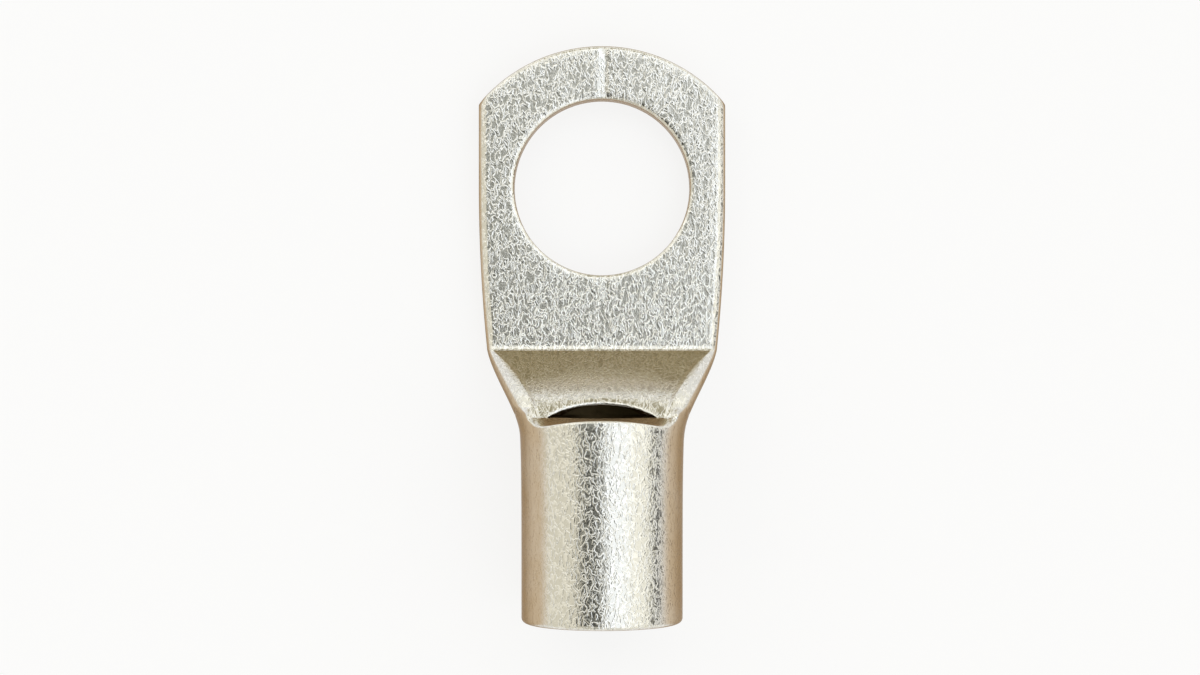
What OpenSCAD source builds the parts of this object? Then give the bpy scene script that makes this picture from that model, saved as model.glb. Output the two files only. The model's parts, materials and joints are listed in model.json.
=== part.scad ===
// Tubular cable lug: one length of tube, pressed flat at one end into a palm with a stud hole.
// The upper wall of the transition is sheared off the barrel and pressed down, and the gap
// that this leaves is the inspection window, where the conductor shows once it is home.
// The palm's contact face lies on Z = 0, its tip points along +Y, and the stud hole's axis is Z.

/* [Barrel] */
// Outside diameter of the conductor barrel
barrel_d = 9.4; // [8.8:0.1:10.4]
// Diameter of the bore that takes the conductor
bore_d = 7.2; // [6:0.1:7.6]
// Length of the round barrel, from its mouth to the shear line
barrel_len = 12; // [8:0.5:20]
// Rounding of the rim round the mouth
rim_round = 0.3; // [0.1:0.05:0.4]
// Chamfer where the conductor enters the bore
bore_chamfer = 0.2; // [0.1:0.05:0.4]
// Height of the barrel's belly above the contact face
barrel_lift = 0.1; // [0.1:0.05:0.4]

/* [Palm] */
// Width of the palm across the stud hole
palm_w = 14.7; // [14.2:0.1:17]
// Thickness of the palm, two tube walls pressed together
palm_t = 2; // [1.6:0.1:2.4]
// Width of the palm at the bend line
neck_w = 13.7; // [12.6:0.1:14.1]
// Distance from the stud hole's axis to the tip
tip_reach = 8.4; // [7.4:0.1:9.4]
// Radius of the tip in plan
tip_r = 9.55; // [8.8:0.05:12]
// Distance from the stud hole's axis to the bend line
bend_reach = 9.7; // [8:0.1:14]
// Rounding of the folded side edges
side_round = 0.55; // [0.3:0.05:0.75]
// Rollover along the upper edge of the sheared tip
tip_round = 0.25; // [0.1:0.05:0.4]
// Width of the die crease between the hole and the tip
crease_w = 0.7; // [0.4:0.1:1.2]
// Depth of the die crease
crease_depth = 0.06; // [0.03:0.01:0.12]

/* [Stud hole] */
// Diameter of the stud hole
stud_hole_d = 10.5; // [8.4:0.1:10.8]
// Depth of the rollover round the upper edge of the stud hole
hole_round = 0.15; // [0.05:0.01:0.25]
// Width of that rollover
hole_round_w = 0.29; // [0.1:0.01:0.4]

/* [Transition] */
// Length of the sloping panel, from the bend line to the shear line
panel_len = 3.85; // [3:0.05:6]
// Height of the panel where it meets the shear line
panel_h = 7.1; // [6.4:0.1:7.6]
// Width of the panel between its shoulders, as a share of the lug's width
panel_share = 0.7; // [0.6:0.01:0.76]
// How far the panel's edges are sunk below the shoulders
panel_sink = 0.13; // [0.05:0.01:0.2]
// How much deeper the panel is along its middle
panel_dish = 0.18; // [0.05:0.01:0.25]
// How far the shoulders run on beside the barrel
shoulder_run = 1.2; // [0.8:0.1:2]
// Width of the inspection window
window_w = 6.4; // [4:0.1:7]
// Height of the window's arch in plan
window_arch = 0.7; // [0.4:0.05:1.2]
// How far the barrel's wall is dragged back beside the window
drag_back = 0.4; // [0.2:0.05:0.7]
// Thickness of the panel, measured straight down
panel_wall = 1.45; // [1:0.05:1.6]

/* [Hidden] */
tin = [0.76, 0.76, 0.72];
round_steps = 96;       // sides of the barrel, the bore and the punched holes
skin_steps = 96;        // points round each section of the pressed skin
cavity_steps = 48;      // points round each section of the cavity
fillet_steps = 6;       // steps along a rounded edge
over = 1;               // how far a cutter runs past the face that it opens

wall = (barrel_d - bore_d) / 2;
axis_z = barrel_lift + barrel_d / 2;
bend_y = -bend_reach;
shear_y = bend_y - panel_len;
mouth_y = shear_y - barrel_len;
blend_len = panel_len + shoulder_run;
shear_share = panel_len / blend_len;
tip_centre_y = tip_reach - tip_r;
hole_r = stud_hole_d / 2;

proud = 0.08;           // how far the ends of the shoulders stand out beside the round barrel
crest_column = 12;      // point of each section that keeps to the inner edge of a shoulder
crest_spread = 0.25;    // how much wider the panel's share is at the bend line
crest_run = 1.1;        // length over which the panel narrows to its share
edge_w = 0.48;          // width of the palm's rounded side, seen from above
edge_start = 0.38;      // level share of the quarter round that the sides and shoulders leave out
shoulder_power = 2.8;   // above 2, the shoulders are squarer than a quarter round
climb_turn = 77;        // degrees of a sine that the panel follows, so that it still climbs at the window
sink_run = 1.6;         // length over which the panel sinks between its shoulders
flank_w = 0.16;         // width of the step up from the panel to a shoulder
crown_gap = 0.12;       // gap between the shear line and the barrel's edge, at the crown
root_run = 0.6;         // length of the skin's root, which is sunk in the barrel's wall
root_inset = 0.2;       // how deep it is sunk there
heel_rise = 0.8;        // rise of the dragged wall behind the shear line
heel_flat = 2;          // half width of the skin's level top in there
heel_lift = 0.05;       // how far the skin's belly lifts off inside the barrel's wall
belly_ease = 1.3;       // above 1, the belly stays flat for longer before it rounds
belly_flat = 0.3;       // half width of the flat that the belly keeps
belly_side = 0.4;       // height of the upright side that the belly keeps below the axis
slit_h = 0.04;          // height of the slit where the palm's two walls meet
slit_at = 0.14;         // share of the panel's length at which the slit opens
cavity_past = 1.05;     // share of it at which the cavity is inside the bore
cavity_gap = 0.12;      // extra wall beside the cavity
corner_share = 0.48;    // corner radius of the cavity, as a share of its height

function mix(a, b, s) = a + (b - a) * s;

// Half turn of cosine, from 0 to 1 with level ends
function ease(s) = (1 - cos(180 * min(1, max(0, s)))) / 2;

// Quarter sine, quick at first and level at the end
function settle(s) = sin(90 * min(1, max(0, s)));

// Arc about [cx, cy] as profile points
function arc(cx, cy, r, from, to) = [
    for (i = [0 : fillet_steps])
        let (a = mix(from, to, i / fillet_steps))
        [cx + r * cos(a), cy + r * sin(a)]
];

// Share of the way from the neck's width to the barrel's
function draw_in(s) = ((-1.35 * s + 1.8) * s + 0.55) * s;

// Half width of the lug at y: parallel past the hole, then drawn in to the neck and the barrel
function half_at(y) =
    y >= bend_y
        ? mix(palm_w, neck_w, pow(min(y, 0) / bend_y, 2)) / 2
        : mix(neck_w / 2, barrel_d / 2 + proud, draw_in(min(1, (bend_y - y) / blend_len)));

// Half width between the shoulders at y, as a share of the lug's half width
function crest_at(y) =
    let (panel = panel_share + crest_spread * exp(-max(0, bend_y - y) / crest_run))
    mix(panel, 1 - edge_w / half_at(y), ease(y - bend_y));

// Height of the panel's shoulders, s of the way from the bend line to the shear line
function panel_z(s) = mix(palm_t, panel_h, sin(climb_turn * s) / sin(climb_turn));

// Fall of a quarter round of that width and height, less its level start
function corner_drop(x, half, width, height, start = 0, power = 2) =
    let (
        inward = mix(start, 1, min(1, max(0, (abs(x) - half + width) / width))),
        level = pow(1 - pow(start, power), 1 / power)
    )
    abs(x) <= half - width
        ? 0
        : height * (1 - pow(max(0, 1 - pow(inward, power)), 1 / power) / level);

// Upper surface from the shear line to the tip, with the panel pressed in between its shoulders
function panel_top(x, y) =
    let (
        down = max(0, bend_y - y),
        s = down / panel_len,
        half = half_at(y),
        crest = crest_at(y) * half,
        fold = settle(2 * s),
        height = mix(side_round, panel_h - axis_z, fold),
        flank = max(0, abs(x) - crest) / flank_w,
        pressed = panel_sink * (1 - settle(flank)) + panel_dish * max(0, 1 - pow(x / crest, 2))
    )
    panel_z(s) - pressed * settle(down / sink_run)
        - corner_drop(x, half, half - crest, height, edge_start, mix(2, shoulder_power, fold));

// Behind the shear line the skin climbs inside the barrel's wall.
function heel_top(x, y) =
    let (half = half_at(y), top = panel_h + heel_rise, along = (shear_y - y) / shoulder_run)
    mix(
        panel_top(x * half_at(shear_y) / half, shear_y),
        top - corner_drop(x, half, half - heel_flat, top - axis_z),
        settle(2 * along)
    );

// Lower surface, which rounds out from the palm's edge to the barrel's belly
function belly_z(x, y) =
    let (
        half = half_at(y),
        s = pow(min(1, max(0, bend_y - y) / blend_len), belly_ease),
        base = max(0, (shear_y - y) / shoulder_run) * (barrel_lift + heel_lift),
        width = mix(side_round, half - belly_flat, s),
        height = mix(side_round, axis_z - belly_side, s) - base
    )
    base + corner_drop(x, half, width, height);

// x of a point at that share of the half width: the crest column keeps to the shoulder's edge.
function reach(share, y) =
    let (
        crest = crest_at(y),
        at = cos(360 * (crest_column + 0.5) / skin_steps),
        size = abs(share)
    )
    half_at(y) * sign(share)
        * (size <= at ? crest * size / at : mix(crest, 1, (size - at) / (1 - at)));

function skin_section(y) = [
    for (i = [0 : skin_steps - 1])
        let (a = 360 * (i + 0.5) / skin_steps, x = reach(cos(a), y))
        [x, y, a > 180 ? belly_z(x, y) : y < shear_y ? heel_top(x, y) : panel_top(x, y)]
];

// Oval section with elliptical corners
function oval(y, half, base, top, width, height, steps) = [
    for (i = [0 : steps - 1])
        let (
            a = 360 * (i + 0.5) / steps,
            x = half * cos(a),
            drop = corner_drop(x, half, width, height)
        )
        [x, y, a < 180 ? top - drop : base + drop]
];

// Closed skin through a row of sections that run along -Y
module skin(sections) {
    steps = len(sections[0]);
    last = (len(sections) - 1) * steps;
    sides = [
        for (k = [0 : len(sections) - 2], i = [0 : steps - 1])
            let (a = k * steps + i, b = k * steps + (i + 1) % steps)
            each [[a, a + steps, b], [b, a + steps, b + steps]]
    ];
    ends = [
        [for (i = [0 : steps - 1]) i],
        [for (i = [steps - 1 : -1 : 0]) last + i]
    ];
    polyhedron(points = [for (section = sections) each section], faces = concat(ends, sides), convexity = 6);
}

// Small oval well inside the barrel's wall, where the skin ends
function root_section() =
    let (half = barrel_d / 2 - root_inset, base = barrel_lift + root_inset, height = half / 2)
    oval(
        shear_y - shoulder_run - root_run, half, base, base + 2 * height,
        half - root_inset, height - root_inset, skin_steps
    );

module pressed_skin() {
    palm_rows = 8;
    panel_rows = 20;
    heel_rows = 5;
    skin(concat(
        [skin_section(tip_reach + over)],
        [for (i = [0 : palm_rows - 1]) skin_section(bend_y * i / palm_rows)],
        [for (i = [0 : panel_rows]) skin_section(bend_y - panel_len * i / panel_rows)],
        [for (i = [1 : heel_rows]) skin_section(shear_y - shoulder_run * i / heel_rows)],
        [root_section()]
    ));
}

// Lays what stands on Z = 0 along the barrel's axis, from the mouth inwards.
module from_mouth() {
    translate([0, mouth_y, axis_z])
        rotate([-90, 0, 0])
            children();
}

// Takes the barrel's wall back in a bow: least at the crown, most beside the window, and less
// again towards the shoulders' ends.
module drag_cut() {
    half = window_w / 2;
    r = barrel_d / 2;
    margin = (r - half) / 5;
    steps = 24;
    edge = [
        for (i = [-steps : steps])
            let (
                x = r * i / steps,
                bow = pow(min(1, abs(x) / half), 2),
                end = ease((abs(x) - half - margin) / (r - half - 2 * margin))
            )
            [x, shear_y - crown_gap - drag_back * bow * (1 - 0.8 * end)]
    ];
    translate([0, 0, axis_z])
        linear_extrude(barrel_d)
            polygon(concat(edge, [[r, shear_y + over], [-r, shear_y + over]]));
}

module barrel() {
    r = barrel_d / 2;
    difference() {
        from_mouth()
            rotate_extrude($fn = round_steps)
                polygon(concat(
                    [[0, 0]],
                    arc(r - rim_round, rim_round, rim_round, -90, 0),
                    [[r, barrel_len], [0, barrel_len]]
                ));
        drag_cut();
    }
}

module bore() {
    r = bore_d / 2;
    from_mouth()
        translate([0, 0, -over]) {
            cylinder(r = r, h = barrel_len + over, $fn = round_steps);
            cylinder(r1 = r + bore_chamfer + over, r2 = r, h = bore_chamfer + over, $fn = round_steps);
        }
}

// One section of the cavity, s of the way from the slit to the bore
function cavity_section(s) =
    let (
        along = mix(slit_at, cavity_past, s),
        y = bend_y - panel_len * along,
        half = half_at(y) - wall - cavity_gap,
        base = mix((palm_t - slit_h) / 2, axis_z - bore_d / 2, settle(s)),
        top = max(base + slit_h, panel_z(along) - panel_wall),
        r = corner_share * (top - base)
    )
    oval(y, half, base, top, min(half - cavity_gap, 2 * r + slit_h), r, cavity_steps);

module cavity() {
    rows = 9;
    skin([for (i = [0 : rows]) cavity_section(i / rows)]);
}

// Upright lens with its straight side on the shear line
module window() {
    half = window_w / 2;
    r = (half * half + window_arch * window_arch) / (2 * window_arch);
    intersection() {
        translate([0, shear_y + window_arch - r, axis_z])
            cylinder(r = r, h = barrel_d, $fn = 2 * round_steps);
        translate([-half, shear_y, axis_z])
            cube([window_w, window_arch + over, barrel_d]);
    }
}

// Straight punch, with the rollover that it leaves round the upper edge
module stud_hole() {
    roll = [
        for (i = [0 : fillet_steps])
            let (a = 90 * i / fillet_steps)
            [hole_r + hole_round_w * (1 - cos(a)), palm_t - hole_round * (1 - sin(a))]
    ];
    rotate_extrude($fn = round_steps)
        polygon(concat(
            [[0, -over], [hole_r, -over]],
            roll,
            [[hole_r + hole_round_w, palm_t + over], [0, palm_t + over]]
        ));
}

// What the shearing die takes off round the tip, with the rollover that it leaves
module tip_cut() {
    difference() {
        translate([-palm_w, 0, -over])
            cube([2 * palm_w, tip_reach + 2 * over, palm_t + 2 * over]);
        translate([0, tip_centre_y, 0])
            rotate_extrude($fn = 2 * round_steps)
                polygon(concat(
                    [[0, -2 * over], [tip_r, -2 * over]],
                    arc(tip_r - tip_round, palm_t - tip_round, tip_round, 0, 90),
                    [[tip_r - tip_round, palm_t + 2 * over], [0, palm_t + 2 * over]]
                ));
    }
}

// Shallow V, steeper on its right side, that the die leaves on the palm from the hole to the tip
module crease() {
    deepest = 0.3 * crease_w;
    left = deepest - 0.7 * crease_w;
    right = deepest + 0.3 * crease_w;
    translate([0, tip_reach + over, palm_t])
        rotate([90, 0, 0])
            linear_extrude(tip_reach + over - hole_r / 2)
                polygon([[left, 0], [deepest, -crease_depth], [right, 0], [right, over], [left, over]]);
}

module cable_lug() {
    color(tin)
        difference() {
            union() {
                pressed_skin();
                barrel();
            }
            bore();
            cavity();
            window();
            stud_hole();
            tip_cut();
            crease();
        }
}

cable_lug();
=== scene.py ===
"""Tin-plated tubular cable lug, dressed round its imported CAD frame.

The lug is made the way the real one is: a sheet of rows and columns is rolled into a tube with an
outer and an inner wall, slit at the shear line, pressed flat at one end and punched for the stud.
"""

import json
from math import cos, degrees, exp, pi, radians, sin, sqrt

import bmesh
import bpy
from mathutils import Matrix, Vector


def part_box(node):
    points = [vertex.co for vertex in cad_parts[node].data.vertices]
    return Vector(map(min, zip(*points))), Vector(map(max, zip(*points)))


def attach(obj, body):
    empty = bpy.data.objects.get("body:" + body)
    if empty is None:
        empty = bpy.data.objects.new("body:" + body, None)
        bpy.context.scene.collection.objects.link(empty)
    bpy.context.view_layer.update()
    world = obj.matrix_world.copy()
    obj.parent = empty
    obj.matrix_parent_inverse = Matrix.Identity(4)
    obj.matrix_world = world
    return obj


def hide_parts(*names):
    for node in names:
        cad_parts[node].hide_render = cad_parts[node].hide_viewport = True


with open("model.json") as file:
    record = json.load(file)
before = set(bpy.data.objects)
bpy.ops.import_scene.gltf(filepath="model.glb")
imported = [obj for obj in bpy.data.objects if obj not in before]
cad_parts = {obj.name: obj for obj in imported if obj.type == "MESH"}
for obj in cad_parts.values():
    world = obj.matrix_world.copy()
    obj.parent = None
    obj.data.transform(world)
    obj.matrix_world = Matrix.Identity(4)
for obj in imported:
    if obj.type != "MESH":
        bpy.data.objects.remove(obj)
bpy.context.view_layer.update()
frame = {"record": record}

# ---------------------------------------------------------------- sizes, in millimetres

MM = 0.001
LUG = "cable_lug"


def mount(name):
    return next(m for m in frame["record"]["mounts"] if m["name"] == name)


lug_low, lug_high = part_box(LUG)
mouth_y = lug_low[1] / MM
tip_y = lug_high[1] / MM
palm_w = 2 * lug_high[0] / MM
axis_z = mount("wire_barrel")["pos_m"][2] / MM
barrel_r = lug_high[2] / MM - axis_z
bore_r = mount("wire_barrel")["dims"]["r_mm"]
hole_r = mount("stud_hole")["dims"]["r_mm"]
palm_t = mount("washer_face")["pos_m"][2] / MM

# The rest repeats the part's own driving sizes.
barrel_len = 12.0
rim_round = 0.3
bore_chamfer = 0.2
neck_w = 13.7
tip_r = 9.55
side_round = 0.55
tip_round = 0.25
crease_w = 0.7
crease_depth = 0.06
panel_len = 3.85
panel_h = 7.1
panel_wall = 1.45
shoulder_run = 1.2
window_w = 6.4
window_arch = 0.7
drag_back = 0.4
crown_gap = 0.12

# Worked out from them
barrel_lift = axis_z - barrel_r
shear_y = mouth_y + barrel_len
bend_y = shear_y + panel_len
blend_len = panel_len + shoulder_run
tip_centre_y = tip_y - tip_r
wall = barrel_r - bore_r

# Fine forms of a pressed and sheared edge
bend_run = 0.34         # how far ahead of the bend line the palm starts to lift
bend_round = 0.06       # half length of the tighter hollow on the bend line itself
bend_lift = 0.24        # share of the panel's slope that the lift ahead of it takes
crest_share = 0.70      # half width of the panel between its shoulders, as a share of the lug's
crest_spread = 0.25     # how much wider than that the panel is on the bend line
crest_run = 1.1         # length over which it narrows
edge_w = 0.48           # width of the palm's rounded sides
edge_start = 0.38       # share of the quarter round that the shoulders and sides leave out
shoulder_power = 2.8    # above 2, the shoulders are squarer than a quarter round
climb_turn = radians(77)    # turn of the sine that the panel follows
crest_blend = 1.2       # length ahead of the bend line over which the shoulders join the palm's sides
sink = 0.13             # how far the panel's edges lie below the shoulders
sink_run = 1.6          # length over which the panel sinks
flank_w = 0.16          # width of the step up from the panel to a shoulder
dish = 0.18             # how far the panel is pressed in between the shoulders
press_line = 0.012      # depth of the line that the die leaves beside the shoulders
press_line_w = 0.022    # width of that line, as a share of the half width
merge_x = 3.9           # half width past which the panel's corners rise to meet the barrel
merge_w = 0.5           # width over which they rise
merge_from = 3.2        # distance behind the bend line where they begin to
drag_end = 3.5          # half width past which the barrel's dragged edge closes up
drag_end_w = 0.9        # width over which it closes
drag_left = 0.1         # share of the drag that is left there
lip_round = 0.14        # rounding of the barrel's edge above the window
roll_run = 0.45         # length of the panel's rolled edge
roll_drop = 0.3         # how far that edge rolls down
hole_roll = 0.29        # width of the rollover round the stud hole
hole_roll_drop = 0.15   # depth of that rollover
burr_w = 0.05           # width of the break at the stud hole's lower edge
burr_h = 0.06           # height of that break
seam_groove = 0.04      # depth of the hairline where the palm's two walls meet
seam_h = 0.03           # half height of that hairline in the hole
crease_lean = 0.3       # share of the crease's width on its steeper side
crease_tail = 0.35      # depth of the crease's faint end below the hole, as a share
tail_run = 2.2          # how far below the hole that end reaches
tail_fade = 1.6         # length over which it fades
slit_at = 0.14          # share of the panel's length at which the cavity opens
slit_run = 0.3          # length over which the two walls close ahead of it
cavity_gap = 0.12       # extra wall beside the cavity
cavity_side = 0.1       # half width of the cavity that its corners leave, at least
corner_share = 0.48     # corner radius of the cavity, as a share of its height
corner_extra = 0.02     # how much wider than two radii its corners are
bore_shift = 2.0        # length behind the shear line over which the bore's columns spread
belly_flat = 0.3        # half width of the flat that the belly keeps
belly_side = 0.4        # height of the upright side that it keeps below the axis
heel_run = 0.4          # how far past the shoulders the belly becomes round
belly_ease = 1.3        # above 1, the belly stays flat for longer before it rounds
proud = 0.08            # how far the shoulders' ends stand out beside the barrel
proud_fade = 1.8        # length over which they fade into it

# Angles over half the tube, in degrees, and the number of columns between them: closer along the crease
TURNS = [(0, 45, 36), (45, 86, 36), (86, 94, 20), (94, 135, 36), (135, 180, 36)]
CREST = cos(radians(45))
CAVITY_ROWS = 14


# ---------------------------------------------------------------- the pressed form

def mix(a, b, s):
    return a + (b - a) * s


def ease(s):
    """Half turn of cosine, level at both ends."""
    return (1 - cos(pi * min(1, max(0, s)))) / 2


def settle(s):
    """Quarter sine, quick at first and level at the end."""
    return sin(pi / 2 * min(1, max(0, s)))


def draw_in(s):
    """Share of the way from the neck's width to the barrel's."""
    return ((-1.35 * s + 1.8) * s + 0.55) * s


def step(s):
    """Smooth step from 0 to 1."""
    s = min(1, max(0, s))
    return s * s * (3 - 2 * s)


def soft_ramp(t, r):
    """0 below -r, t above r, and a smooth hollow between."""
    if t <= -r:
        return 0
    return t if t >= r else (t + r) ** 2 / (4 * r)


def rounding(s):
    """Fall of a quarter round, from 1 at its steep end to 0 where it runs out level."""
    s = min(1, max(0, s))
    return 1 - sqrt(1 - (1 - s) ** 2)


def half_at(y):
    """Half width of the lug at y."""
    if y >= bend_y:
        return mix(palm_w, neck_w, (min(y, 0) / bend_y) ** 2) / 2
    along = (bend_y - y) / blend_len
    if along <= 1:
        return mix(neck_w / 2, barrel_r + proud, draw_in(along))
    return barrel_r + proud * exp(-(along - 1) * blend_len / proud_fade)


def belly_at(y):
    """Base and lower corner radii of the section at y."""
    if y >= bend_y:
        return 0, side_round, side_round
    half = half_at(y)
    along = min(1, (bend_y - y) / blend_len)
    width = mix(side_round, half - belly_flat, along ** belly_ease)
    height = mix(side_round, axis_z - belly_side, along ** belly_ease)
    if y >= shear_y:
        return 0, width, height
    settled = ease((shear_y - y) / (shoulder_run + heel_run))
    base = barrel_lift * settled
    return base, mix(width, half, settled), mix(height - base, axis_z - base, settled)


def corner_drop(x, half, width, height, start=0, power=2):
    """Fall of a quarter round of that width and height.

    start leaves out its level share, and a power above 2 makes it squarer.
    """
    if abs(x) <= half - width:
        return 0
    inward = mix(start, 1, min(1, (abs(x) - half + width) / width))
    level = (1 - start ** power) ** (1 / power)
    return height * (1 - max(0, 1 - inward ** power) ** (1 / power) / level)


def belly_z(x, y):
    base, width, height = belly_at(y)
    return base + corner_drop(x, half_at(y), width, height)


def crest_at(y):
    """Half width between the shoulders, as a share of the lug's half width."""
    palm = 1 - edge_w / half_at(y)
    down = max(0, bend_y - y)
    panel = crest_share + crest_spread * exp(-down / crest_run)
    return mix(panel, palm, step((y - bend_y) / crest_blend))


def climb(s):
    """The panel's rise along its length: steep at the bend line, still sloping at the window."""
    return sin(climb_turn * s) / sin(climb_turn)


def panel_top(x, y):
    """Upper surface from the shear line to the palm's tip."""
    down = bend_y - y
    lifted = bend_lift * soft_ramp(down + bend_run / 2, bend_run / 2)
    t = (lifted + (1 - bend_lift) * soft_ramp(down, bend_round)) / panel_len
    half = half_at(y)
    crest = crest_at(y) * half
    fold = settle(2 * t)
    z = mix(palm_t, panel_h, climb(t))
    if abs(x) <= crest:
        pressed = sink + dish * (1 - (x / crest) ** 2)
        return z - pressed * settle(down / sink_run)
    beyond = abs(x) - crest
    height = mix(side_round, panel_h - axis_z, fold)
    z -= corner_drop(x, half, half - crest, height, edge_start, mix(2, shoulder_power, fold))
    z -= sink * settle(down / sink_run) * (1 - settle(beyond / flank_w))
    late = ease((down - merge_from) / (panel_len - merge_from))
    beside = step((abs(x) - merge_x) / merge_w) * late
    return mix(z, barrel_top(x), beside)


def barrel_top(x):
    reach = x * barrel_r / half_at(shear_y)
    return axis_z + sqrt(max(0, barrel_r ** 2 - reach ** 2))


def crease_at(x, y):
    """Die crease from the stud hole to the tip: a V with one steeper side, and a faint end below."""
    depth = crease_depth * (1 if y > 0 else crease_tail * ease((y + hole_r + tail_run) / tail_fade))
    steep_w = crease_lean * crease_w
    beyond = x - steep_w
    rise = beyond / steep_w if beyond > 0 else -beyond / (crease_w - steep_w)
    return depth * max(0, 1 - rise)


def arch(x):
    """How far the window reaches into the panel at x."""
    half = window_w / 2
    r = (half * half + window_arch * window_arch) / (2 * window_arch)
    return max(0, window_arch - r + sqrt(r * r - x * x)) if abs(x) < half else 0


class Column:
    """One line along the tube, at one angle round it."""

    def __init__(self, turn):
        self.angle = radians(turn)
        self.across = cos(self.angle)
        self.upper = turn <= 180
        self.heel_x = self.reach(shear_y)
        self.in_window = self.upper and abs(self.heel_x) < window_w / 2
        x = abs(barrel_r * self.across)
        dragged = crown_gap + drag_back * min(1, x / (window_w / 2)) ** 2
        closed = step((x - drag_end) / drag_end_w) if self.upper else 0
        self.edge_y = shear_y - dragged * mix(1, drag_left, closed)
        self.open_y = shear_y + (arch(self.heel_x) if self.upper else 0)

    def reach(self, y):
        """x at y: the columns at the crest's angle keep to the inner edge of the shoulders."""
        crest = crest_at(y)
        size = abs(self.across)
        if size <= CREST:
            size = size / CREST * crest
        else:
            size = mix(crest, 1, (size - CREST) / (1 - CREST))
        return half_at(y) * (size if self.across > 0 else -size)

    def barrel_point(self, y):
        x = half_at(y) * self.across
        if self.upper:
            return x, y, axis_z + barrel_r * sin(self.angle)
        return x, y, belly_z(x, y)

    def heel_point(self):
        """Foot of the dragged wall, on the shear line."""
        x = self.heel_x
        if not self.upper:
            return x, shear_y, belly_z(x, shear_y)
        ceiling = axis_z + sqrt(max(0, bore_r ** 2 - x * x))
        return x, shear_y, max(ceiling, panel_top(x, shear_y)) if self.in_window else panel_top(x, shear_y)

    def skin_point(self, y):
        """On the panel or the palm, with the rolled edge beside the window."""
        x = self.reach(y)
        if not self.upper:
            return x, y, belly_z(x, y)
        z = panel_top(x, y) - crease_at(x, y)
        if 0.001 < CREST - abs(self.across) < press_line_w:
            z -= press_line
        if self.in_window:
            depth = roll_drop * arch(self.heel_x) / window_arch
            z -= depth * rounding((y - self.open_y) / roll_run)
        return x, y, z

    def tip_end(self):
        x = self.reach(tip_y - 4)
        return tip_centre_y + sqrt(tip_r ** 2 - x * x)

    def bore_point(self, y, r=bore_r):
        """On the bore; near the shear line the columns shift to meet the window's ends."""
        x = bore_r * self.across
        if self.upper:
            tip = window_w / 2
            size = abs(self.heel_x)
            if not self.in_window:
                size = mix(tip, bore_r, (size - tip) / (half_at(shear_y) - tip))
            side = 1 if x > 0 else -1
            x = mix(side * size, x, ease((shear_y - y) / bore_shift))
        rise = sqrt(max(0, bore_r ** 2 - x * x))
        share = r / bore_r
        return x * share, y, axis_z + (rise if self.upper else -rise) * share

    def slit_point(self):
        """Where the two walls meet."""
        x, y, _ = self.cavity_point(0)
        return x, y + slit_run, palm_t / 2

    def cavity_point(self, s):
        """Inside the transition, from the slit at s = 0 to the window's edge at s = 1."""
        slit_y = bend_y - slit_at * panel_len
        y = mix(slit_y, self.open_y, s)
        along = (bend_y - y) / panel_len
        half = half_at(y) - wall - cavity_gap
        base = mix(palm_t / 2, axis_z - bore_r, settle(s))
        top = max(base, mix(palm_t, panel_h, climb(along)) - panel_wall)
        height = corner_share * (top - base)
        x = half * self.across
        drop = corner_drop(x, half, min(half - cavity_side, 2 * height + corner_extra), height)
        return x, y, top - drop if self.upper else base + drop


def bend_curve(a, b, c, s):
    """Point s of the way along the curve from a to c that b pulls."""
    return tuple(mix(mix(p, q, s), mix(q, r, s), s) for p, q, r in zip(a, b, c))


def between(a, b, s):
    return tuple(mix(p, q, s) for p, q in zip(a, b))


def steps(count, start=0):
    return [i / count for i in range(start, count + 1)]


def inner_rows():
    """The inner wall, from the line where the tube is pressed shut to the mouth."""
    rows = [Column.slit_point]
    rows += [lambda c, s=s: c.cavity_point(s) for s in steps(CAVITY_ROWS)]
    rows += [lambda c, s=s: c.bore_point(mix(shear_y, mouth_y + bore_chamfer, s)) for s in steps(18)]
    rows += [lambda c: c.bore_point(mouth_y, bore_r + bore_chamfer)]
    return rows


def mouth_rows():
    """The flat of the mouth and the rounding of its rim."""
    flat_r = barrel_r - rim_round

    def ring(r, y):
        return lambda c: (r * c.across, y, axis_z + r * sin(c.angle))

    rows = [ring(mix(bore_r + bore_chamfer, flat_r, s), mouth_y) for s in steps(3, 1)]
    for s in steps(6, 1):
        turn = pi / 2 * s
        rows.append(ring(flat_r + rim_round * sin(turn), mouth_y + rim_round * (1 - cos(turn))))
    return rows


def barrel_rows():
    """The outer wall of the barrel, over its rounded edge and down the dragged wall."""

    def along(s):
        return lambda c: c.barrel_point(mix(mouth_y + rim_round, c.edge_y - lip_round, s))

    def lip(s):
        def point(c):
            edge = c.barrel_point(c.edge_y)
            foot = c.heel_point()
            length = sqrt(sum((p - q) ** 2 for p, q in zip(edge, foot)))
            down = between(edge, foot, min(0.5, lip_round / length))
            return bend_curve(c.barrel_point(c.edge_y - lip_round), edge, down, s)
        return point

    def dragged(s):
        return lambda c: between(lip(1)(c), c.heel_point(), s)

    rows = [along(s) for s in steps(40, 1)]
    rows += [lip(s) for s in steps(5, 1)]
    rows += [dragged(s) for s in steps(5, 1)]
    return rows


def bend_rows():
    """Stations over the bend line, closest where the hollow is tightest."""
    tight = [bend_y + bend_round * mix(-1.6, 1.6, s) for s in steps(8)]
    return tight + [mix(tight[-1], bend_y + 1.1 * bend_run, s) for s in steps(9, 1)]


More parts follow.
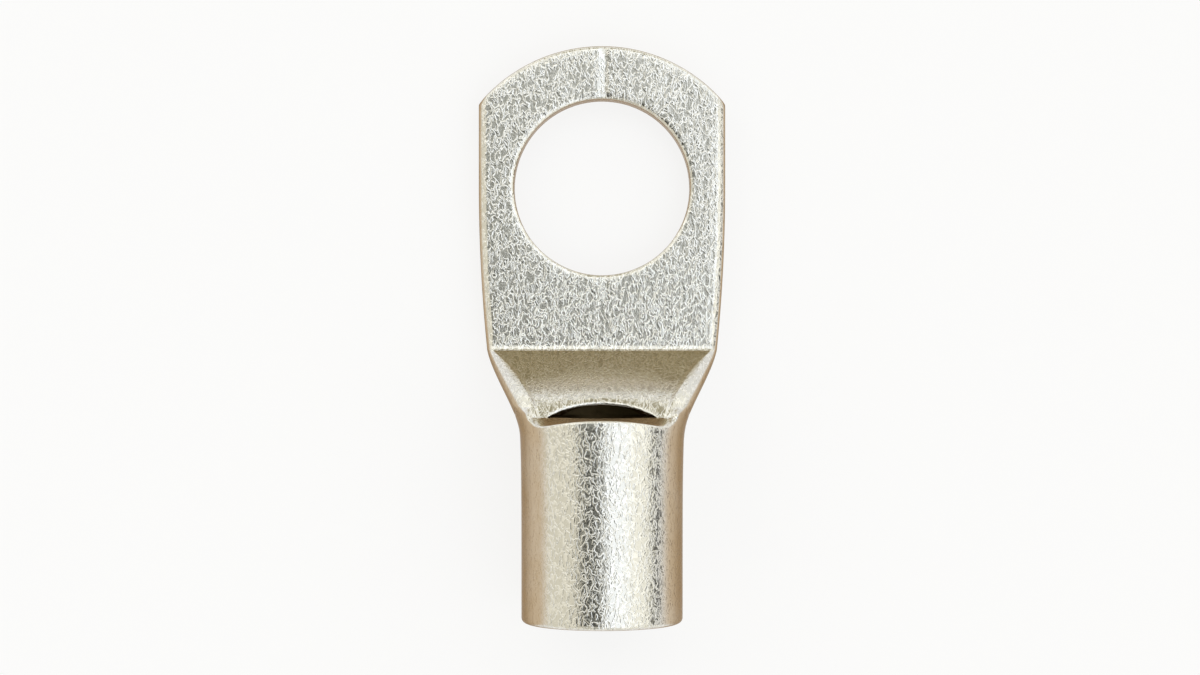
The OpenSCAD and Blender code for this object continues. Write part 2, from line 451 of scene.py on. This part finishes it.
def palm_rows():
    """The panel from the window's edge, over the bend line and along the palm to the tip."""

    def panel(s):
        return lambda c: c.skin_point(mix(c.open_y, bend_y - 2 * bend_round, s))

    def palm(s):
        return lambda c: c.skin_point(mix(bend_y + 1.1 * bend_run, c.tip_end() - tip_round, s))

    def tip(s):
        def point(c):
            x, y, z = c.skin_point(c.tip_end() - tip_round)
            drop = tip_round if c.upper else -tip_round / 3
            turn = pi / 2 * s
            return x, y + tip_round * sin(turn), z - drop * (1 - cos(turn))
        return point

    def end(s):
        return lambda c: between(tip(1)(c), (tip(1)(c)[0], c.tip_end(), palm_t / 2), s)

    def seam(c):
        x, y, z = end(1)(c)
        return x, y - seam_groove, z

    rows = [panel(s ** 1.4) for s in steps(56)]
    rows += [lambda c, y=y: c.skin_point(y) for y in bend_rows()]
    rows += [palm(s) for s in steps(44, 1)]
    rows += [tip(s) for s in steps(6, 1)]
    rows += [end(s) for s in (0.3, 0.6, 0.95)]
    rows += [seam]
    return rows


def open_window(bm, points, row):
    """Takes out the sheet's faces after one row, over the window's width."""
    faces = []
    for face in bm.faces:
        spots = [points[v] for v in face.verts]
        if {r for r, _ in spots} == {row, row + 1} and all(c.in_window for _, c in spots):
            faces.append(face)
    bmesh.ops.delete(bm, geom=faces, context="FACES_ONLY")


def window_wall(bm, points, inner_row, outer_row):
    """Joins the panel's inner and outer skin along the window's edge."""
    inner, outer = (
        sorted((c.heel_x, v) for v, (r, c) in points.items() if r == row and c.in_window)
        for row in (inner_row, outer_row)
    )
    for k in range(len(inner) - 1):
        bm.faces.new([inner[k][1], inner[k + 1][1], outer[k + 1][1], outer[k][1]])


def pressed_tube():
    """The whole tube as one sheet of rows and columns, closed along its seam and at both ends."""
    inner = inner_rows()
    outer = mouth_rows() + barrel_rows()
    rows = inner + outer + palm_rows()
    half = [mix(start, end, s) for start, end, count in TURNS for s in steps(count)[:-1]]
    turns = half + [180 + turn for turn in half]
    columns = [Column(turn) for turn in turns + [0]]
    bm = bmesh.new()
    bmesh.ops.create_grid(bm, x_segments=len(rows) - 1, y_segments=len(turns), size=1)
    points = {}
    for v in bm.verts:
        row = round((v.co.x + 1) / 2 * (len(rows) - 1))
        column = columns[round((v.co.y + 1) / 2 * len(turns))]
        points[v] = (row, column)
    for face in bm.faces:
        face.material_index = int(max(points[v][0] for v in face.verts) < len(inner))
    for v, (row, column) in points.items():
        v.co = rows[row](column)
    cavity_end = CAVITY_ROWS + 1
    panel_start = len(inner) + len(outer)
    open_window(bm, points, cavity_end)
    open_window(bm, points, panel_start - 1)
    window_wall(bm, points, cavity_end, panel_start)
    bmesh.ops.remove_doubles(bm, verts=bm.verts, dist=0.0005)
    loose = [e for e in bm.edges if not e.link_faces]
    bmesh.ops.delete(bm, geom=loose, context="EDGES")
    corners = [e for e in bm.edges if e.is_boundary]
    bmesh.ops.holes_fill(bm, edges=corners, sides=12)
    bmesh.ops.recalc_face_normals(bm, faces=bm.faces)
    return bm


def stud_punch():
    """What the punch takes out, with the rollover round its upper edge and the hairline seam."""
    over = 0.5
    middle = palm_t / 2
    profile = [(0, -over), (hole_r + burr_w, -over), (hole_r + burr_w, 0), (hole_r, burr_h)]
    profile += [(hole_r, middle - seam_h), (hole_r + seam_groove, middle), (hole_r, middle + seam_h)]
    for s in steps(7):
        turn = pi / 2 * s
        profile.append((
            hole_r + hole_roll * (1 - cos(turn)),
            palm_t - hole_roll_drop * (1 - 1.03 * sin(turn)),
        ))
    profile += [(hole_r + hole_roll, palm_t + over), (0, palm_t + over)]
    bm = bmesh.new()
    line = [bm.verts.new((r, 0, z)) for r, z in profile]
    edges = [bm.edges.new(pair) for pair in zip(line, line[1:])]
    bmesh.ops.spin(
        bm, geom=line + edges, cent=(0, 0, 0), axis=(0, 0, 1), angle=2 * pi, steps=240, use_merge=True
    )
    bmesh.ops.remove_doubles(bm, verts=bm.verts, dist=0.0005)
    bmesh.ops.recalc_face_normals(bm, faces=bm.faces)
    return bm


def new_object(name, bm):
    bmesh.ops.scale(bm, vec=(MM, MM, MM), verts=bm.verts)
    mesh = bpy.data.meshes.new(name)
    bm.to_mesh(mesh)
    bm.free()
    piece = bpy.data.objects.new(name, mesh)
    bpy.context.scene.collection.objects.link(piece)
    return piece


def punch(piece, cutter):
    """Takes the cutter out of the piece for good."""
    cut = piece.modifiers.new("punch", "BOOLEAN")
    cut.operation = "DIFFERENCE"
    cut.solver = "MANIFOLD"
    cut.object = cutter
    graph = bpy.context.evaluated_depsgraph_get()
    punched = bpy.data.meshes.new_from_object(piece.evaluated_get(graph))
    piece.modifiers.clear()
    piece.data = punched
    bpy.data.objects.remove(cutter)


def make_lug():
    lug = new_object("lug", pressed_tube())
    lug.data.materials.append(tin_plate())
    lug.data.materials.append(dull_bore())
    punch(lug, new_object("punch", stud_punch()))
    lug.data.shade_smooth()
    lug.data.set_sharp_from_angle(angle=radians(38))
    flat = lug.modifiers.new("flat_faces", "WEIGHTED_NORMAL")
    flat.keep_sharp = True
    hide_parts(LUG)
    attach(lug, "root")


# ---------------------------------------------------------------- shader sums

class Socket:
    """A node's output that sums and products can be written with."""

    def __init__(self, graph, output):
        self.graph = graph
        self.output = output

    def maths(self, operation, *values):
        return self.graph.node("ShaderNodeMath", {"operation": operation}, dict(enumerate(values)))

    def other(self, name):
        """Another output of the same node."""
        return Socket(self.graph, self.output.node.outputs[name])

    def __add__(self, value):
        return self.maths("ADD", self, value)

    def __sub__(self, value):
        return self.maths("SUBTRACT", self, value)

    def __rsub__(self, value):
        return self.maths("SUBTRACT", value, self)

    def __mul__(self, value):
        return self.maths("MULTIPLY", self, value)

    def __abs__(self):
        return self.maths("ABSOLUTE", self)

    __radd__ = __add__
    __rmul__ = __mul__


class Graph:
    """A node tree, with one way to add any node."""

    def __init__(self, tree):
        self.tree = tree
        tree.nodes.clear()

    def node(self, kind, settings=None, sockets=None, output=0):
        made = self.tree.nodes.new(kind)
        for name, value in (settings or {}).items():
            setattr(made, name, value)
        for name, value in (sockets or {}).items():
            if isinstance(value, Socket):
                self.tree.links.new(value.output, made.inputs[name])
            else:
                made.inputs[name].default_value = value
        return Socket(self, made.outputs[output]) if made.outputs else None

    def step(self, value, start, end):
        """0 before start, 1 after end and smooth between them."""
        return self.node(
            "ShaderNodeMapRange",
            {"interpolation_type": "SMOOTHSTEP"},
            {"Value": value, "From Min": start, "From Max": end},
        )

    def band(self, value, start, end, soft):
        """1 from start to end, with soft edges."""
        rise = self.step(value, start - soft, start + soft)
        return rise - self.step(value, end - soft, end + soft)

    def larger(self, a, b):
        """The larger of two values."""
        return self.node("ShaderNodeMath", {"operation": "MAXIMUM"}, {0: a, 1: b})

    def blend(self, share, a, b):
        """Colour a where share is 0 and colour b where it is 1."""
        return self.node(
            "ShaderNodeMix", {"data_type": "RGBA"}, {"Factor": share, 6: a, 7: b}, output=2
        )

    def split(self, vector):
        return self.node("ShaderNodeSeparateXYZ", None, {0: vector})

    def stretch(self, vector, scale):
        return self.node("ShaderNodeMapping", None, {"Vector": vector, "Scale": scale})

    def noise(self, vector, scale, detail=3, roughness=0.5, distortion=0):
        return self.node(
            "ShaderNodeTexNoise",
            None,
            {
                "Vector": vector,
                "Scale": scale,
                "Detail": detail,
                "Roughness": roughness,
                "Distortion": distortion,
            },
        )


def new_material(name):
    material = bpy.data.materials.new(name)
    material.use_nodes = True
    return material, Graph(material.node_tree)


# ---------------------------------------------------------------- finishes

TIN = (0.70, 0.69, 0.64, 1)
TIN_PALE = (0.95, 0.945, 0.91, 1)
# Painted olive reflection for the panel's slope:
PAINTED_PANEL_REFLECTION = (0.58, 0.52, 0.37, 1)
# Painted tan reflection for steep faces, and painted brown shade for the steepest:
PAINTED_TAN_REFLECTION = (0.56, 0.44, 0.30, 1)
PAINTED_BROWN_SHADE = (0.42, 0.32, 0.21, 1)
EDGE_TINT = (0.60, 0.50, 0.40, 1)


def tin_plate():
    """Matt tin over copper: a worm-like crinkle, drawn streaks, and a painted tan reflection on steep
    faces that deepens to painted brown shade on the steepest.

    Where the panel's slope by the bend faces the palm, it gets a painted olive reflection, darker and
    yellower than the tin.
    """
    material, g = new_material("tin_plate")
    place = g.node("ShaderNodeTexCoord", output="Object")
    at = g.stretch(place, (1 / MM, 1 / MM, 1 / MM))
    facing = g.split(place.other("Normal"))
    upright = abs(facing.other("Z"))
    sideways = abs(facing.other("X") - 0.03)

    worm = g.noise(g.stretch(at, (1.4, 0.8, 1)), 2.6, detail=1.5, roughness=0.5, distortion=0.8)
    ridge = g.step(1 - abs(worm * 2 - 1) * 5, 0, 1)
    fine = g.noise(at, 6.5, detail=2, roughness=0.6)
    streak = g.noise(g.stretch(at, (2.6, 0.3, 1)), 1.0, detail=3, roughness=0.6)
    cloud = g.noise(at, 0.35, detail=2)

    height = ridge * 0.5 + worm * 0.6 + fine * 0.5 + streak * 0.5
    bump = g.node(
        "ShaderNodeBump", None, {"Strength": 1.0, "Distance": 0.022 * MM, "Height": height}
    )
    # Painted reflection and shade: faces that lean sideways or steeply are tinted tan, and deeper brown
    # where steepest, as a shadowed floor would show in them.
    steep = g.larger(g.step(sideways, 0.63, 0.81), 1 - g.step(upright, 0.3, 0.5))
    painted_rim_reflection = g.blend(g.step(upright, 0.3, 0.6), PAINTED_BROWN_SHADE, PAINTED_TAN_REFLECTION)
    pale = g.larger(ridge * 0.6 + fine * 0.4, g.step(streak, 0.58, 0.72) * 0.9)
    tone = g.blend(pale, TIN, TIN_PALE)
    # Painted reflection: faces that lean towards the palm are tinted olive, as the palm would show in
    # them.
    tone = g.blend(g.step(facing.other("Y"), 0.72, 0.87) * (1.1 - fine * 0.4), tone, PAINTED_PANEL_REFLECTION)
    colour = g.blend(steep * (0.75 + cloud * 0.4), tone, painted_rim_reflection)
    roughness = 0.13 + fine * 0.08 + cloud * 0.05
    shader = g.node(
        "ShaderNodeBsdfPrincipled",
        None,
        {
            "Base Color": colour,
            "Metallic": 1.0,
            "Roughness": roughness,
            "Specular Tint": EDGE_TINT,
            "Normal": bump,
        },
    )
    g.node("ShaderNodeOutputMaterial", None, {"Surface": shader})
    return material


def dull_bore():
    """Inside of the tube: a copper brown, painted far darker as painted shade of the deep bore."""
    material, g = new_material("dull_bore")
    place = g.node("ShaderNodeTexCoord", output="Object")
    at = g.stretch(place, (1 / MM, 1 / MM, 1 / MM))
    grain = g.noise(g.stretch(at, (1, 0.3, 1)), 3.0, detail=4, roughness=0.6)
    bump = g.node("ShaderNodeBump", None, {"Distance": 0.02 * MM, "Height": grain})
    # Painted shade: near-black copper browns that stand in for the bore's deep shade.
    colour = g.blend(grain, (0.10, 0.075, 0.035, 1), (0.24, 0.18, 0.09, 1))
    shader = g.node(
        "ShaderNodeBsdfPrincipled",
        None,
        {"Base Color": colour, "Metallic": 0.9, "Roughness": 0.35 + grain * 0.2, "Normal": bump},
    )
    g.node("ShaderNodeOutputMaterial", None, {"Surface": shader})
    return material


def paper():
    """Plain white floor that keeps the lug's shadow."""
    material, g = new_material("floor_paper")
    at = g.node("ShaderNodeTexCoord", output="Object")
    grain = g.noise(at, 900, detail=2)
    colour = g.blend(grain, (0.90, 0.895, 0.885, 1), (0.93, 0.925, 0.915, 1))
    matt = g.node("ShaderNodeBsdfDiffuse", None, {"Color": colour})
    white = g.node("ShaderNodeEmission", None, {"Color": (1, 1, 1, 1), "Strength": 1.0})
    ray = g.node("ShaderNodeLightPath", output="Is Camera Ray")
    seen = g.larger(ray, g.larger(ray.other("Is Glossy Ray"), ray.other("Is Transmission Ray")))
    shader = g.node("ShaderNodeMixShader", None, {"Fac": seen * 0.82, 1: matt, 2: white})
    g.node("ShaderNodeOutputMaterial", None, {"Surface": shader})
    return material


# ---------------------------------------------------------------- floor, light and camera

def make_floor():
    bm = bmesh.new()
    bmesh.ops.create_grid(bm, x_segments=1, y_segments=1, size=1500)
    bmesh.ops.translate(bm, vec=(0, 0, -0.01), verts=bm.verts)
    ground = new_object("floor", bm)
    ground.data.materials.append(paper())


def light_tent():
    """Pale tent over the lug, with a white box beside a dark slit, and a duller end over the palm."""
    world = bpy.data.worlds.new("tent")
    bpy.context.scene.world = world
    world.use_nodes = True
    g = Graph(world.node_tree)
    way = g.split(g.node("ShaderNodeTexCoord", output="Generated"))
    up = way.other("Z")
    side = way.maths("ARCTAN2", way.other("X"), up) * degrees(1)
    back = way.maths("ARCSINE", way.other("Y")) * degrees(1)

    cream = (0.84, 0.80, 0.68, 1)
    pale_cream = (1.14, 1.12, 1.02, 1)
    white = (1.25, 1.30, 1.36, 1)
    soft_white = (1.25, 1.23, 1.15, 1)
    grey = (0.36, 0.37, 0.34, 1)
    dark = (0.03, 0.03, 0.026, 1)
    dusk = (0.36, 0.32, 0.20, 1)

    colour = g.blend(g.band(back, 9, 42, 3) * g.band(side, -60, 60, 10), cream, soft_white)
    colour = g.blend(g.band(side, 38, 72, 3) * g.band(back, -60, 42, 8), colour, pale_cream)
    colour = g.blend(g.step(back, 25, 40) * g.step(abs(side), 36, 56), colour, pale_cream)
    colour = g.blend(g.step(back, 40, 50) * (1 - g.step(abs(side), 12, 40)), colour, dusk)
    colour = g.blend(g.step(0 - back, 28, 42) * g.band(side, -28, 28, 6), colour, grey)
    colour = g.blend(g.band(side, 4, 38, 2) * g.band(back, -60, 42, 8), colour, white)
    colour = g.blend(g.band(side, -33, 6, 2) * g.band(back, -1, 12, 1.5), colour, grey)
    colour = g.blend(g.band(side, -33, 2, 2.5) * g.band(back, -24, -1, 1.5), colour, dark)
    colour = g.blend(g.band(side, 74, 97, 4) * g.band(back, -25, 8, 4), colour, dark)
    shader = g.node("ShaderNodeBackground", None, {"Color": colour, "Strength": 1.0})
    g.node("ShaderNodeOutputWorld", None, {"Surface": shader})


def make_camera():
    """Straight above the lug, a little past the bend line."""
    camera = bpy.data.cameras.new("camera")
    camera.sensor_width = 36
    camera.lens = 74.7
    camera.clip_start = 0.01
    holder = bpy.data.objects.new("camera", camera)
    holder.location = (-0.12 * MM, -8.95 * MM, 150 * MM)
    bpy.context.scene.collection.objects.link(holder)
    bpy.context.scene.camera = holder


make_lug()
make_floor()
light_tent()
make_camera()
bpy.context.scene.view_settings.view_transform = "Standard"
